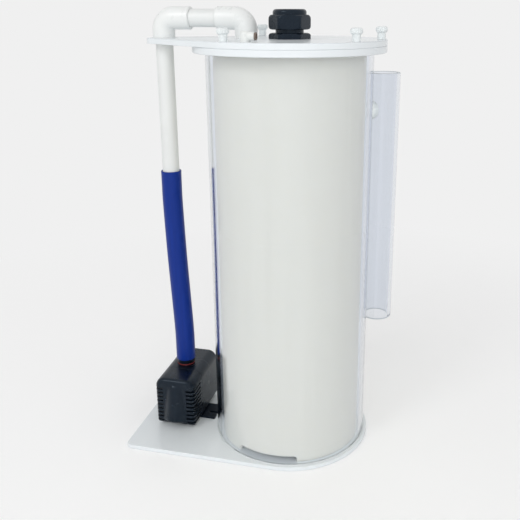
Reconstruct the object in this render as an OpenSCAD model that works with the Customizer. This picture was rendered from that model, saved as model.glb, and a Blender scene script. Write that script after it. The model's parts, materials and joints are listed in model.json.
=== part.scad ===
// Pump-fed column water filter, free standing.
// Origin: underside of the base plate, on the axis of the chamber tube. Z is up, X points away from the pump.

/* [Base] */
// Thickness of the base plate
base_t = 4; // [3:0.5:8]
// Margin of the base plate round the chamber tube
base_margin = 3.2; // [2:0.1:25]
// Distance from the tube axis to the square end of the base plate
base_reach = 148; // [140:1:190]
// Radius of the two corners at the square end
base_corner_r = 6; // [1:0.5:20]

/* [Chamber] */
// Outer diameter of the clear chamber tube
chamber_od = 150; // [124:1:154]
// Wall of the clear chamber tube
chamber_wall = 4; // [2:0.5:5]
// Height of the clear chamber tube
chamber_h = 380.5; // [300:0.5:480]
// Radial gap between the chamber tube and the inner tube
annulus_gap = 2.75; // [1.5:0.25:8]
// Wall of the ivory inner tube
inner_wall = 3; // [1.5:0.5:5]
// Height of the outflow notches at the foot of the inner tube
notch_h = 6; // [4:0.5:9]
// Arc of each outflow notch, in degrees
notch_arc = 49; // [20:1:90]
// Number of outflow notches
notch_count = 3; // [2:1:3]

/* [Media] */
// Height of the feet that carry the lower media plate
grate_feet_h = 10; // [9.5:0.5:20]
// Thickness of both perforated media plates
grate_t = 3; // [2:0.5:5]
// Thickness of each foam pad
foam_t = 15; // [8:1:25]
// Height of the water space between the cover plate and the lid
head_space = 74.5; // [50:0.5:250]

/* [Lid] */
// Reach of the flange ring and of the lid beyond the chamber tube
rim_reach = 11; // [9:0.5:20]
// Thickness of the flange ring
flange_t = 6; // [4:0.5:10]
// Thickness of the lid
lid_t = 5; // [4:0.5:8]
// Radius of the lobe of the lid around the riser pipe
lobe_r = 16; // [13:0.5:20]
// Section diameter of the sealing ring between lid and chamber tube
seal_d = 1.6; // [1.2:0.1:2]

/* [Side tube] */
// Outer diameter of the side tube
side_od = 30; // [28:1:40]
// Wall of the side tube
side_wall = 3; // [2:0.5:4]
// Gap between the flange ring and the top of the side tube
side_drop = 20; // [5:1:60]
// Length of the side tube
side_len = 243.5; // [200:0.5:260]
// Direction of the side tube round the chamber, in degrees
side_angle = 26.5; // [15:0.5:75]
// Outer diameter of the port bush
port_d = 20; // [14:0.5:22]
// Depth of the port bush below the top of the side tube
port_drop = 33.5; // [14:0.5:60]

/* [Pipes] */
// Outer diameter of the rigid pipe
pipe_od = 16; // [14:0.5:18]
// Wall of the rigid pipe
pipe_wall = 1.8; // [1:0.1:2.5]
// Outer diameter of the elbows
elbow_od = 20.4; // [20:0.2:25]
// Radius of the inner corner of the elbows
elbow_corner_r = 0.3; // [0.2:0.1:2]
// Length of the level arm of an elbow, from the corner of its axes
elbow_arm = 27; // [22:0.5:32]
// Height of the level run above the lid
run_rise = 17.5; // [16:0.5:30]
// Depth of the pipe sockets of the elbows
socket_depth = 12; // [8:0.5:13]
// Distance from the chamber axis to the riser pipe
riser_x = 119; // [114:0.5:123]
// Distance from the chamber axis to the inlet pipe
inlet_x = 40; // [34:0.5:44]
// Length of the inlet pipe below the lid
inlet_drop = 12; // [5:1:30]
// Bore of the hose, measured to the clearance on the pipe
hose_bore_gap = 0.3; // [0.2:0.05:0.5]
// Wall of the hose
hose_wall = 1.3; // [1:0.1:1.8]

/* [Lid fittings] */
// Width across the flats of the gland
gland_af = 33; // [30:0.5:38]
// Turn of the gland's hexagons about the chamber axis, in degrees
gland_turn = 12; // [0:1:30]
// Outer diameter of the gland thread
gland_thread = 25; // [20:0.5:26]
// Height of the hexagon that seats on the lid
gland_hex_h = 5; // [4:0.5:8]
// Gap between the seat hexagon and the cap nut
gland_neck_h = 3; // [1:0.5:6]
// Height of the hexagon of the cap nut
gland_cap_h = 12.5; // [10:0.5:16]
// Height of the round top of the cap nut
gland_dome_h = 4.8; // [3:0.2:7]
// Thickness of the lock nut under the lid
locknut_h = 5; // [3:0.5:8]
// Diameter of the thumb screw heads
screw_head_d = 10.4; // [9:0.2:12]
// Height of the thumb screws above the lid
screw_head_h = 11; // [8:0.5:14]
// Thread diameter of the thumb screws
screw_d = 5; // [4:0.5:6]
// Directions of the thumb screws round the lid, in degrees
screw_angles = [-118, -35, 5, 123];
// Diameter of the tube that the vent takes
vent_tube_d = 4; // [3:0.5:5]
// Height of the vent above the lid
vent_h = 8.4; // [8:0.2:12]

/* [Pump] */
// Width of the pump
pump_w = 41; // [40:1:44]
// Height of the pump body
pump_h = 50.5; // [50:0.5:56]
// Centre of the pump in X
pump_x = -111; // [-113:0.5:-109]
// Front of the strainer cover in Y
pump_front = -43; // [-50:0.5:-40]
// Rear face of the strainer cover in Y
strainer_back = -15; // [-16:0.5:-14]
// Joint between volute and motor in Y
motor_front = 8; // [8:0.5:10]
// Rear face of the motor in Y
motor_back = 30; // [29:0.5:45]
// Height of the rotor axis above the bottom of the pump body
rotor_z = 23; // [20:0.5:24]
// Radius of the impeller chamber
chamber_r = 15; // [14:0.5:16]
// Pitch of the strainer slots
slot_pitch = 4.4; // [4:0.1:5]
// Height of a strainer slot
slot_h = 1.9; // [1:0.1:2.4]
// Thickness of the foot plate under the pump
foot_t = 2.5; // [2:0.5:4]

/* [Hidden] */
$fn = 64;

// Clearances
glue_gap = 0.05;
run_gap = 0.08;
soft_gap = 0.3;
eps = 0.01;
edge = 0.5;

// Levels of the column
flange_top = base_t + chamber_h;
lid_top = flange_top + lid_t;
chamber_r_out = chamber_od / 2;
base_half_w = chamber_r_out + base_margin;
rim_r = chamber_r_out + rim_reach;
chamber_r_in = chamber_r_out - chamber_wall;
inner_r_out = chamber_r_in - annulus_gap;
inner_r_in = inner_r_out - inner_wall;
inner_h = chamber_h - soft_gap;
notch_round = notch_h / 2;
notch_turn = -96;
media_r = inner_r_in - soft_gap;
grate_z = base_t + grate_feet_h;
foam1_z = grate_z + grate_t;
media_z = foam1_z + foam_t;
cover_z = flange_top - head_space - grate_t;
foam2_z = cover_z - foam_t;
media_h = foam2_z - media_z;
plate_rings = 4;
plate_hole_r = 2.2;
plate_edge = 0.8;
grate_foot_r = 5;
grate_foot_at = 0.72;
knob_r = 6;
knob_h = 14;
seal_r = (chamber_r_out + chamber_r_in) / 2;
seal_groove = seal_d + 0.4;

// Side tube and port
side_r = side_od / 2;
side_centre = chamber_r_out + side_r + glue_gap;
side_bottom = flange_top - flange_t - side_drop - side_len;
port_z = side_bottom + side_len - port_drop;
port_r = port_d / 2;
port_wall = 2;

// Pipes
pipe_r = pipe_od / 2;
pipe_bore = pipe_r - pipe_wall;
elbow_r = elbow_od / 2;
elbow_bend = elbow_r + elbow_corner_r;
run_z = lid_top + run_rise;
bridge_from = -riser_x + elbow_arm - socket_depth;
bridge_to = -inlet_x - elbow_arm + socket_depth;
leg_socket_top = run_z - run_rise + min(socket_depth, run_rise - elbow_bend) - soft_gap;
elbow_mouth = 0.8;

// Hose: a twelve sided tube along a route with straight ends over the pipe and the barb
hose_sides = 12;
hose_r_in = (pipe_r + hose_bore_gap) / cos(180 / hose_sides);
hose_r_out = hose_r_in + hose_wall;
hose_route = [
    [-119, 0, 264], [-119, 0, 250], [-119, 0, 237], [-118.5, 0, 218], [-117.8, 0, 196], [-116.8, 0, 170],
    [-115.4, 0, 142], [-114.2, 0, 118], [-113.3, 0, 98], [-113, 0, 86], [-113, 0, 74], [-113, 0, 63]
];
riser_in_hose = 25;
riser_end = hose_route[0][2] - riser_in_hose;

// Gland
gland_thread_r = gland_thread / 2;
gland_neck_z = lid_top + gland_hex_h;
gland_cap_z = gland_neck_z + gland_neck_h;
gland_top = gland_cap_z + gland_cap_h + gland_dome_h;
gland_bore_r = gland_thread_r - 3.5;
gland_plug_r = gland_bore_r - 3.2;
gland_spigot = gland_cap_h - 2;
gland_tail = lid_t + locknut_h + 1.5;

// Thumb screws and vent
screw_r = screw_d / 2;
screw_circle = (rim_r + chamber_r_out) / 2;
screw_reach = lid_t + flange_t - 0.6;
screw_flutes = 14;
vent_pos = [-21, -66];
vent_turn = 0;
vent_r = 4;
vent_arm_r = 3.5;
vent_arm_len = 8.2;
vent_arm_z = lid_top + vent_h / 2 + 0.2;
vent_bore = vent_tube_d / 2;
collet_r = vent_bore + 0.75;
collet_len = 4.5;
collet_out = 1.4;

// Pump
pump_z = base_t + foot_t;
pump_top = pump_z + pump_h;
pump_wall = 2;
pump_round_top = 9;
pump_round_low = 3;
rotor_axis_z = pump_z + rotor_z;
outlet_x = hose_route[len(hose_route) - 1][0];
outlet_y = 0;
outlet_bore = pipe_r - 2.8;
outlet_socket_r = pipe_r - 1;
outlet_socket_h = 6;
outlet_ring_t = 1.6;
barb_end = hose_route[len(hose_route) - 1][2] + 21;
collar_top = hose_route[len(hose_route) - 1][2] - soft_gap;
motor_wall = 2.5;
stator_inset = motor_wall + soft_gap;
inlet_z = pump_top - 12;
inlet_spigot_r = 4;
inlet_bore_r = 2.6;
inlet_len = 8;
well_r = 9.2;
well_wall = 1.8;
magnet_r = well_r - 0.5;
shaft_r = 1.5;
bush_r = 3;
bush_len = 3;
eye_r = 8;
impeller_r = chamber_r - 2.5;
impeller_front = strainer_back + 5;
blade_back = motor_front - 4;
well_back = motor_back - 3.5;
magnet_back = well_back - bush_len - 0.4;
nose_half_w = 14.5;
nose_out = 4;
nose_top = pump_h - 9.5;
slot_lift = 3.2;
slot_below_top = 10;
slot_from = pump_z + slot_lift;
slot_count = floor((pump_h - slot_lift - slot_below_top - slot_h) / slot_pitch) + 1;
lug_reach = 13.5;
lug_front = -18;
lug_back = 6;
lug_slot_y = -9;
lug_slot_w = 3;

// ---- shared shapes ----

// Tube standing on z, open at both ends
module tube(r_out, r_in, h, z) {
    translate([0, 0, z]) {
        difference() {
            cylinder(r = r_out, h = h, $fn = 128);
            translate([0, 0, -1])
                cylinder(r = r_in, h = h + 2, $fn = 128);
        }
    }
}

// Disc with broken edges top and bottom
module eased_disc(r, h, c) {
    rotate_extrude($fn = 128)
        polygon([[0, 0], [r - c, 0], [r, c], [r, h - c], [r - c, h], [0, h]]);
}

// Solid slice of a tube wall between two angles, used as a cutter
module wall_wedge(half_arc, h, r) {
    linear_extrude(height = h)
        polygon([[0, 0], [r * cos(half_arc), -r * sin(half_arc)], [r * 1.2, -r * 0.2], [r * 1.2, r * 0.2],
            [r * cos(half_arc), r * sin(half_arc)]]);
}

// Round bar along +X
module bar_x(r, len) {
    rotate([0, 90, 0])
        cylinder(r = r, h = len);
}

// Round bar along +Y
module bar_y(r, len) {
    rotate([-90, 0, 0])
        cylinder(r = r, h = len);
}

// Regular hexagon bar of the gland
module hex_bar(af, h) {
    rotate([0, 0, gland_turn])
        cylinder(r = af / sqrt(3), h = h, $fn = 6);
}

// Quarter bend from a leg coming up at the origin to an arm leaving along +X
module quarter_bend(r) {
    translate([elbow_bend, 0, -elbow_bend])
        rotate([90, 0, 0])
            rotate([0, 0, 90])
                rotate_extrude(angle = 90)
                    translate([elbow_bend, 0])
                        circle(r = r);
}

// Elbow with its axes crossing at the origin, one leg down and one arm along +X
module elbow(leg, arm) {
    mouth = elbow_mouth;
    difference() {
        union() {
            translate([0, 0, -leg])
                cylinder(r = elbow_r, h = leg - elbow_bend);
            quarter_bend(elbow_r);
            translate([elbow_bend, 0, 0])
                bar_x(elbow_r, arm - elbow_bend - mouth);
            translate([arm - mouth, 0, 0])
                rotate([0, 90, 0])
                    cylinder(r1 = elbow_r, r2 = elbow_r - mouth, h = mouth);
        }
        translate([0, 0, -leg - 1])
            cylinder(r = pipe_bore, h = leg - elbow_bend + 1);
        quarter_bend(pipe_bore);
        translate([elbow_bend, 0, 0])
            bar_x(pipe_bore, arm - elbow_bend + 1);
        translate([0, 0, -leg - 1])
            cylinder(r = pipe_r + glue_gap, h = min(socket_depth, leg - elbow_bend) + 1);
        translate([arm - socket_depth, 0, 0])
            bar_x(pipe_r + glue_gap, socket_depth + 1);
    }
}

// Outline of the pump body, standing on y = 0
module pump_outline(inset) {
    w = pump_w / 2 - inset;
    top = pump_h - inset;
    rt = pump_round_top - inset;
    rb = pump_round_low - min(inset, 2.4);
    union() {
        polygon([[-w, inset + rb], [-w + rb, inset], [w - rb, inset], [w, inset + rb], [w, top - rt],
            [w - rt, top], [-w + rt, top], [-w, top - rt]]);
        for (side = [-1, 1]) {
            translate([side * (w - rt), top - rt])
                circle(r = rt);
            translate([side * (w - rb), inset + rb])
                circle(r = rb);
        }
    }
}

// Block with the pump outline from y0 to y1
module pump_block(y0, y1, inset = 0) {
    translate([pump_x, y1, pump_z])
        rotate([90, 0, 0])
            linear_extrude(height = y1 - y0)
                pump_outline(inset);
}

// Places children on the rotor axis, pointing along +Y from y
module on_rotor(y) {
    translate([pump_x, y, rotor_axis_z])
        children();
}

// ---- column ----

module base_plate() {
    color("ghostwhite")
        linear_extrude(height = base_t)
            union() {
                circle(r = base_half_w, $fn = 128);
                translate([-base_reach, -base_half_w + base_corner_r])
                    square([base_reach, 2 * (base_half_w - base_corner_r)]);
                translate([-base_reach + base_corner_r, -base_half_w])
                    square([base_reach - base_corner_r, 2 * base_half_w]);
                for (side = [-1, 1])
                    translate([-base_reach + base_corner_r, side * (base_half_w - base_corner_r)])
                        circle(r = base_corner_r);
            }
}

// Round hole through the chamber wall towards the side tube
module port_hole(r, from, to) {
    rotate([0, 0, side_angle])
        translate([from, 0, port_z])
            bar_x(r, to - from);
}

module chamber_tube() {
    color("lightsteelblue", 0.35)
        difference() {
            tube(chamber_r_out, chamber_r_in, chamber_h, base_t);
            port_hole(port_r + glue_gap, chamber_r_in - 5, chamber_r_out + 5);
        }
}

// One outflow notch with rounded upper corners
module notch() {
    turn = asin(notch_round / inner_r_out);
    half = notch_arc / 2;
    translate([0, 0, -1]) {
        wall_wedge(half - turn, notch_h + 1, inner_r_out + 10);
        wall_wedge(half, notch_h - notch_round + 1, inner_r_out + 10);
    }
    for (side = [-1, 1])
        rotate([0, 0, side * (half - turn)])
            translate([inner_r_in - 3, 0, notch_h - notch_round])
                bar_x(notch_round, inner_wall + 6);
}

module inner_tube() {
    color("ivory")
        difference() {
            tube(inner_r_out, inner_r_in, inner_h, base_t);
            for (i = [0:notch_count - 1])
                rotate([0, 0, notch_turn + i * 360 / notch_count])
                    translate([0, 0, base_t])
                        notch();
        }
}

// Holes of a perforated plate on rings round the centre
module plate_holes(z) {
    for (ring = [1:plate_rings])
        for (i = [0:ring * 6 - 1])
            rotate([0, 0, i * 60 / ring])
                translate([ring * media_r / (plate_rings + plate_edge), 0, z - 1])
                    cylinder(r = plate_hole_r, h = grate_t + 2, $fn = 24);
}

module media_grate() {
    color("gainsboro")
        union() {
            difference() {
                translate([0, 0, grate_z])
                    cylinder(r = media_r, h = grate_t, $fn = 128);
                plate_holes(grate_z);
            }
            for (i = [0:2])
                rotate([0, 0, i * 120 + 15])
                    translate([media_r * grate_foot_at, 0, base_t])
                        cylinder(r = grate_foot_r, h = grate_feet_h + grate_t);
        }
}

module lower_foam() {
    color("darkslateblue")
        translate([0, 0, foam1_z])
            cylinder(r = media_r, h = foam_t, $fn = 128);
}

module media_bed() {
    color("tan")
        translate([0, 0, media_z])
            cylinder(r = media_r, h = media_h, $fn = 128);
}

module upper_foam() {
    color("darkslateblue")
        translate([0, 0, foam2_z])
            cylinder(r = media_r, h = foam_t, $fn = 128);
}

module media_cover_plate() {
    color("gainsboro")
        union() {
            difference() {
                translate([0, 0, cover_z])
                    cylinder(r = media_r, h = grate_t, $fn = 128);
                plate_holes(cover_z);
            }
            translate([0, 0, cover_z])
                cylinder(r = knob_r, h = grate_t + knob_h);
        }
}

// Screw holes through a plate of the rim
module rim_holes(r, z, h) {
    for (a = screw_angles)
        rotate([0, 0, a])
            translate([screw_circle, 0, z])
                cylinder(r = r, h = h, $fn = 32);
}

module flange_ring() {
    color("whitesmoke")
        difference() {
            translate([0, 0, flange_top - flange_t])
                eased_disc(rim_r, flange_t, edge);
            translate([0, 0, flange_top - flange_t - 1])
                cylinder(r = chamber_r_out + glue_gap, h = flange_t + 2, $fn = 128);
            rim_holes(screw_r + run_gap, flange_top - flange_t - 1, flange_t + 2);
        }
}

module side_tube() {
    color("lightsteelblue", 0.35)
        difference() {
            rotate([0, 0, side_angle])
                translate([side_centre, 0, 0])
                    tube(side_r, side_r - side_wall, side_len, side_bottom);
            port_hole(port_r + glue_gap, chamber_r_out - 2, chamber_r_out + side_wall + 8);
        }
}

module port_bush() {
    color("lightsteelblue", 0.35)
        difference() {
            port_hole(port_r, chamber_r_in + 0.4, chamber_r_out + side_wall + 4);
            port_hole(port_r - port_wall, chamber_r_in - 5, chamber_r_out + side_wall + 10);
            rotate([0, 0, side_angle])
                translate([side_centre, 0, port_z - port_d])
                    cylinder(r = side_r - side_wall, h = 2 * port_d, $fn = 128);
        }
}

// ---- lid and pipes ----

// Plan of the lid: the round part and the lobe, joined by their outer tangents
module lid_plan(inset) {
    big = rim_r - inset;
    small = lobe_r - inset;
    a = acos((big - small) / riser_x);
    union() {
        circle(r = big, $fn = 128);
        translate([-riser_x, 0])
            circle(r = small);
        polygon([[-big * cos(a), big * sin(a)], [-riser_x - small * cos(a), small * sin(a)],
            [-riser_x - small * cos(a), -small * sin(a)], [-big * cos(a), -big * sin(a)]]);
    }
}

module lid() {
    color("whitesmoke")
        difference() {
            union() {
                translate([0, 0, flange_top])
                    linear_extrude(height = lid_t - edge)
                        lid_plan(0);
                translate([0, 0, lid_top - edge])
                    linear_extrude(height = edge)
                        lid_plan(edge / 2);
            }
            translate([0, 0, flange_top - 1])
                tube(seal_r + seal_groove / 2, seal_r - seal_groove / 2, seal_d + 1, 0);
            translate([-riser_x, 0, flange_top - 1])
                cylinder(r = pipe_r + glue_gap, h = lid_t + 2);
            translate([-inlet_x, 0, flange_top - 1])
                cylinder(r = pipe_r + glue_gap, h = lid_t + 2);
            translate([0, 0, flange_top - 1])
                cylinder(r = gland_thread_r + glue_gap, h = lid_t + 2);
            translate([vent_pos[0], vent_pos[1], flange_top - 1])
                cylinder(r = screw_r + glue_gap, h = lid_t + 2, $fn = 32);
            rim_holes(screw_r + run_gap, flange_top - 1, lid_t + 2);
        }
}

module lid_seal() {
    color("black")
        translate([0, 0, flange_top + seal_d / 2])
            rotate_extrude($fn = 128)
                translate([seal_r, 0])
                    circle(r = seal_d / 2 - eps, $fn = 24);
}

module elbow_riser() {
    color("whitesmoke")
        translate([-riser_x, 0, run_z])
            elbow(run_rise, elbow_arm);
}

module elbow_inlet() {
    color("whitesmoke")
        translate([-inlet_x, 0, run_z])
            mirror([1, 0, 0])
                elbow(run_rise, elbow_arm);
}

module bridge_pipe() {
    color("white")
        difference() {
            translate([bridge_from + soft_gap, 0, run_z])
                bar_x(pipe_r, bridge_to - bridge_from - 2 * soft_gap);
            translate([bridge_from - 1, 0, run_z])
                bar_x(pipe_bore, bridge_to - bridge_from + 2);
        }
}

module inlet_pipe() {
    color("white")
        translate([-inlet_x, 0, 0])
            tube(pipe_r, pipe_bore, leg_socket_top - flange_top + inlet_drop, flange_top - inlet_drop);
}

module riser_pipe() {
    color("white")
        translate([-riser_x, 0, 0])
            tube(pipe_r, pipe_bore, leg_socket_top - riser_end, riser_end);
}

// Direction of the hose route at point i
function route_dir(i) =
    let (a = hose_route[max(0, i - 1)], b = hose_route[min(len(hose_route) - 1, i + 1)], d = b - a)
    d / norm(d);

// Ring of points round the hose at route point i
function hose_ring(i, r) =
    let (t = route_dir(i), u = [0, 1, 0], v = cross(t, u))
    [for (k = [0:hose_sides - 1]) hose_route[i] + r * (cos(k * 360 / hose_sides) * u + sin(k * 360 / hose_sides) * v)];

module hose() {
    rings = len(hose_route);
    outer = [for (i = [0:rings - 1]) each hose_ring(i, hose_r_out)];
    inner = [for (i = [0:rings - 1]) each hose_ring(i, hose_r_in)];
    shift = rings * hose_sides;
    last = (rings - 1) * hose_sides;
    n = hose_sides;
    wall = [for (i = [0:rings - 2], k = [0:n - 1])
        [i * n + k, (i + 1) * n + k, (i + 1) * n + (k + 1) % n, i * n + (k + 1) % n]];
    lining = [for (f = wall) [f[3] + shift, f[2] + shift, f[1] + shift, f[0] + shift]];
    first_end = [for (k = [0:n - 1]) [k, (k + 1) % n, (k + 1) % n + shift, k + shift]];
    last_end = [for (k = [0:n - 1]) [last + k + shift, last + (k + 1) % n + shift, last + (k + 1) % n, last + k]];
    color("royalblue")
        polyhedron(points = concat(outer, inner), faces = concat(wall, lining, first_end, last_end));
}

// ---- gland, screws and vent ----

module gland_body() {
    color("darkslategray")
        difference() {
            union() {
                translate([0, 0, lid_top - gland_tail])
                    cylinder(r = gland_thread_r, h = gland_tail);
                translate([0, 0, lid_top])
                    hex_bar(gland_af, gland_hex_h);
                translate([0, 0, gland_neck_z])
                    cylinder(r = gland_thread_r, h = gland_neck_h + gland_spigot);
            }
            translate([0, 0, lid_top - gland_tail - 1])
                cylinder(r = gland_bore_r, h = gland_tail + gland_hex_h + gland_neck_h + gland_spigot + 2);
        }
}

module gland_locknut() {
    color("darkslategray")
        difference() {
            translate([0, 0, flange_top - locknut_h])
                hex_bar(gland_af, locknut_h);
            translate([0, 0, flange_top - locknut_h - 1])
                cylinder(r = gland_thread_r + glue_gap, h = locknut_h + 2);
        }
}

module gland_seal() {
    color("dimgray")
        tube(gland_bore_r - glue_gap, gland_plug_r + glue_gap, gland_neck_h + gland_spigot, gland_neck_z);
}

module gland_plug() {
    color("dimgray")
        translate([0, 0, gland_neck_z - 3])
            cylinder(r = gland_plug_r, h = gland_top - gland_neck_z + 3 - 0.6);
}

module gland_cap() {
    round_r = gland_af / 2 - 1.6;
    color("darkslategray")
        difference() {
            union() {
                translate([0, 0, gland_cap_z])
                    hex_bar(gland_af, gland_cap_h);
                translate([0, 0, gland_cap_z + gland_cap_h])
                    rotate_extrude()
                        union() {
                            square([round_r - gland_dome_h * 0.6, gland_dome_h]);
                            square([round_r, gland_dome_h * 0.4]);
                            translate([round_r - gland_dome_h * 0.6, gland_dome_h * 0.4])
                                intersection() {
                                    circle(r = gland_dome_h * 0.6);
                                    square(gland_dome_h * 0.6);
                                }
                        }
            }
            translate([0, 0, gland_cap_z - 1])
                cylinder(r = gland_thread_r + run_gap, h = gland_spigot + 1 + soft_gap);
            translate([0, 0, gland_cap_z])
                cylinder(r = gland_plug_r + soft_gap, h = gland_cap_h + gland_dome_h + 1);
        }
}

// Knurled thumb screw standing on z = 0 with its thread below
module thumb_screw() {
    head_r = screw_head_d / 2;
    neck_r = head_r * 0.7;
    head_z = screw_head_h * 0.5;
    color("aliceblue")
        union() {
            translate([0, 0, -screw_reach])
                cylinder(r = screw_r, h = screw_reach, $fn = 32);
            cylinder(r = neck_r, h = head_z, $fn = 48);
            difference() {
                translate([0, 0, head_z])
                    rotate_extrude($fn = 64)
                        polygon([[0, 0], [neck_r, 0], [head_r, 1.6], [head_r, 3.9], [head_r - 0.8, 5],
                            [head_r - 2.2, screw_head_h - head_z], [0, screw_head_h - head_z]]);
                for (i = [0:screw_flutes - 1])
                    rotate([0, 0, i * 360 / screw_flutes])
                        translate([head_r + 0.35, 0, head_z - 1])
                            cylinder(r = 0.75, h = screw_head_h, $fn = 16);
            }
        }
}

module placed_screw(i) {
    rotate([0, 0, screw_angles[i]])
        translate([screw_circle, 0, lid_top + eps])
            thumb_screw();
}

// Moves children to the vent
module at_vent() {
    translate([vent_pos[0], vent_pos[1], 0])
        rotate([0, 0, vent_turn])
            children();
}

module vent_body() {
    color("white")
        at_vent()
            difference() {
                union() {
                    translate([0, 0, lid_top - lid_t])
                        cylinder(r = screw_r, h = lid_t, $fn = 32);
                    translate([0, 0, lid_top])
                        cylinder(r = vent_r, h = vent_h - 1);
                    translate([0, 0, lid_top + vent_h - 1])
                        cylinder(r1 = vent_r, r2 = vent_r - 1, h = 1);
                    translate([0, 0, vent_arm_z])
                        bar_x(vent_arm_r, vent_arm_len);
                }
                translate([0, 0, flange_top - 1])
                    cylinder(r = 1.2, h = vent_arm_z - flange_top + 1, $fn = 24);
                translate([0, 0, vent_arm_z])
                    bar_x(1.2, vent_arm_len);
                translate([vent_arm_len - collet_len - 1, 0, vent_arm_z])
                    bar_x(collet_r + run_gap, collet_len + 2);
            }
}

module vent_collet() {
    color("rosybrown")
        at_vent()
            translate([vent_arm_len - collet_len + collet_out, 0, vent_arm_z])
                difference() {
                    union() {
                        bar_x(collet_r, collet_len);
                        translate([collet_len - 0.7, 0, 0])
                            bar_x(collet_r + 0.4, 0.7);
                    }
                    translate([-1, 0, 0])
                        bar_x(vent_bore + glue_gap, collet_len + 2);
                }
}

// ---- pump ----

module pump_foot() {
    left = pump_x - pump_w / 2 + 3;
    right = pump_x + pump_w / 2 + lug_reach;
    color("black")
        translate([0, 0, base_t])
            difference() {
                translate([left, lug_front, 0])
                    cube([right - left, lug_back - lug_front, foot_t]);
                translate([right - 7, lug_slot_y - lug_slot_w / 2, -1])
                    cube([8, lug_slot_w, foot_t + 2]);
                translate([right - 7, lug_slot_y, -1])
                    cylinder(r = lug_slot_w / 2, h = foot_t + 2);
            }
}

// Swollen nose on the front of the strainer, turned about an upright axis behind the face
module nose() {
    r_low = (nose_half_w * nose_half_w / nose_out + nose_out) / 2;
    back = r_low - nose_out;
    intersection() {
        translate([pump_x, pump_front + back, pump_z])
            rotate_extrude($fn = 128)
                polygon([[0, 0], [r_low - 1.2, 0], [r_low, 2], [r_low - 0.2, nose_top * 0.25],
                    [r_low - 1, nose_top * 0.5], [r_low - 2.3, nose_top * 0.75],
                    [r_low - nose_out, nose_top], [0, nose_top]]);
        translate([pump_x - nose_half_w - 1, pump_front - nose_out - 1, pump_z])
            cube([2 * nose_half_w + 2, nose_out + 1 + pump_wall, pump_h]);
    }
}

module strainer_cover() {
    slot_len = pump_w;
    color("black")
        union() {
            difference() {
                pump_block(pump_front, strainer_back);
                pump_block(pump_front + pump_wall, strainer_back + 1, pump_wall);
                for (i = [0:slot_count - 1])
                    for (side = [-1, 1])
                        translate([pump_x + side * (slot_len / 2 + nose_half_w - 3), 0, slot_from + i * slot_pitch])
                            translate([-slot_len / 2, pump_front - 1, 0])
                                cube([slot_len, strainer_back - pump_front - 3, slot_h]);
            }
            nose();
        }
}

module volute() {
    color("black")
        difference() {
            pump_block(strainer_back + soft_gap, motor_front);
            on_rotor(strainer_back + 3)
                bar_y(chamber_r, motor_front - strainer_back);
            difference() {
                on_rotor(strainer_back - 1)
                    bar_y(eye_r, 5);
                on_rotor(strainer_back - 2)
                    bar_y(bush_r + 1.5, 7);
                for (i = [0:2])
                    on_rotor(strainer_back - 2)
                        rotate([0, i * 120, 0])
                            translate([-0.8, 0, 0])
                                cube([1.6, 7, eye_r + 2]);
            }
            on_rotor(strainer_back - 1)
                bar_y(bush_r + glue_gap, 6);
            translate([outlet_x, outlet_y, rotor_axis_z])
                cylinder(r = outlet_bore, h = pump_h);
            translate([outlet_x, outlet_y, pump_top - outlet_socket_h])
                cylinder(r = outlet_socket_r + glue_gap, h = outlet_socket_h + 1);
        }
}

module motor_housing() {
    color("black")
        difference() {
            pump_block(motor_front, motor_back);
            difference() {
                pump_block(motor_front + motor_wall, motor_back - motor_wall, motor_wall);
                on_rotor(motor_front)
                    bar_y(well_r + well_wall, motor_back - motor_front);
            }
            on_rotor(motor_front - 1)
                bar_y(well_r, well_back - motor_front + 1);
            on_rotor(motor_front - 1)
                rotate([-90, 0, 0])
                    tube(chamber_r + 3, chamber_r + 1, 2, 0);
            translate([pump_x, motor_back - motor_wall - 1, inlet_z])
                bar_y(inlet_spigot_r + glue_gap, motor_wall + 2);
        }
}

module stator() {
    color("peru")
        difference() {
            pump_block(motor_front + stator_inset, motor_back - stator_inset, stator_inset);
            on_rotor(motor_front)
                bar_y(well_r + well_wall + soft_gap, motor_back - motor_front);
        }
}

module volute_seal() {
    color("dimgray")
        on_rotor(motor_front + glue_gap)
            rotate([-90, 0, 0])
                tube(chamber_r + 3 - glue_gap, chamber_r + 1 + glue_gap, 1 - 2 * glue_gap, 0);
}

module impeller() {
    color("whitesmoke")
        difference() {
            union() {
                on_rotor(impeller_front)
                    bar_y(4, motor_front + 1 - impeller_front);
                on_rotor(blade_back)
                    bar_y(impeller_r, 1.5);
                for (i = [0:5])
                    on_rotor(impeller_front)
                        rotate([0, i * 60, 0])
                            translate([-0.7, 0, 2])
                                cube([1.4, blade_back - impeller_front + 0.5, impeller_r - 3]);
            }
            on_rotor(impeller_front - 1)
                bar_y(shaft_r + run_gap, motor_back - impeller_front);
        }
}

module rotor_magnet() {
    color("dimgray")
        difference() {
            on_rotor(motor_front + 1)
                bar_y(magnet_r, magnet_back - motor_front - 1);
            on_rotor(motor_front)
                bar_y(shaft_r + run_gap, motor_back - motor_front);
        }
}

module pump_shaft() {
    color("ivory")
        on_rotor(strainer_back + soft_gap)
            bar_y(shaft_r, well_back - strainer_back - 2 * soft_gap);
}

// Rubber bush on the rotor axis from y
module bush(y) {
    on_rotor(y)
        difference() {
            bar_y(bush_r, bush_len);
            translate([0, -1, 0])
                bar_y(shaft_r + glue_gap, bush_len + 2);
        }
}

module shaft_bushes() {
    color("black") {
        bush(strainer_back + soft_gap);
        bush(well_back - bush_len);
    }
}

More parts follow.
